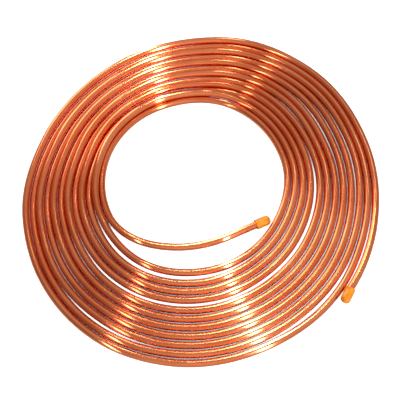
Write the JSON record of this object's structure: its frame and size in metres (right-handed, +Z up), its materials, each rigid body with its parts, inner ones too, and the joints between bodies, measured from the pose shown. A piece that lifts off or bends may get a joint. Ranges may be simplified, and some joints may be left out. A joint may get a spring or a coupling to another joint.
{
  "type": "copper pipe coil",
  "caption": "Soft copper tube wound in a single flat layer round an open centre, with a sprung inner end and a plastic cap pushed over each end.",
  "frame": {"origin": "middle of the coil's bounding box, at the floor that it lies on", "axes": "+Z up, through the flat coil; -Y is the side nearest the camera in the picture, +X is its right"},
  "size_m": [0.6242, 0.6284, 0.0225],
  "materials": {
    "copper": "polished",
    "cap": "gloss"
  },
  "bodies": {
    "root": {"copper_tube": "copper", "inner_end_cap": "cap", "outer_end_cap": "cap"}
  },
  "joints": []
}
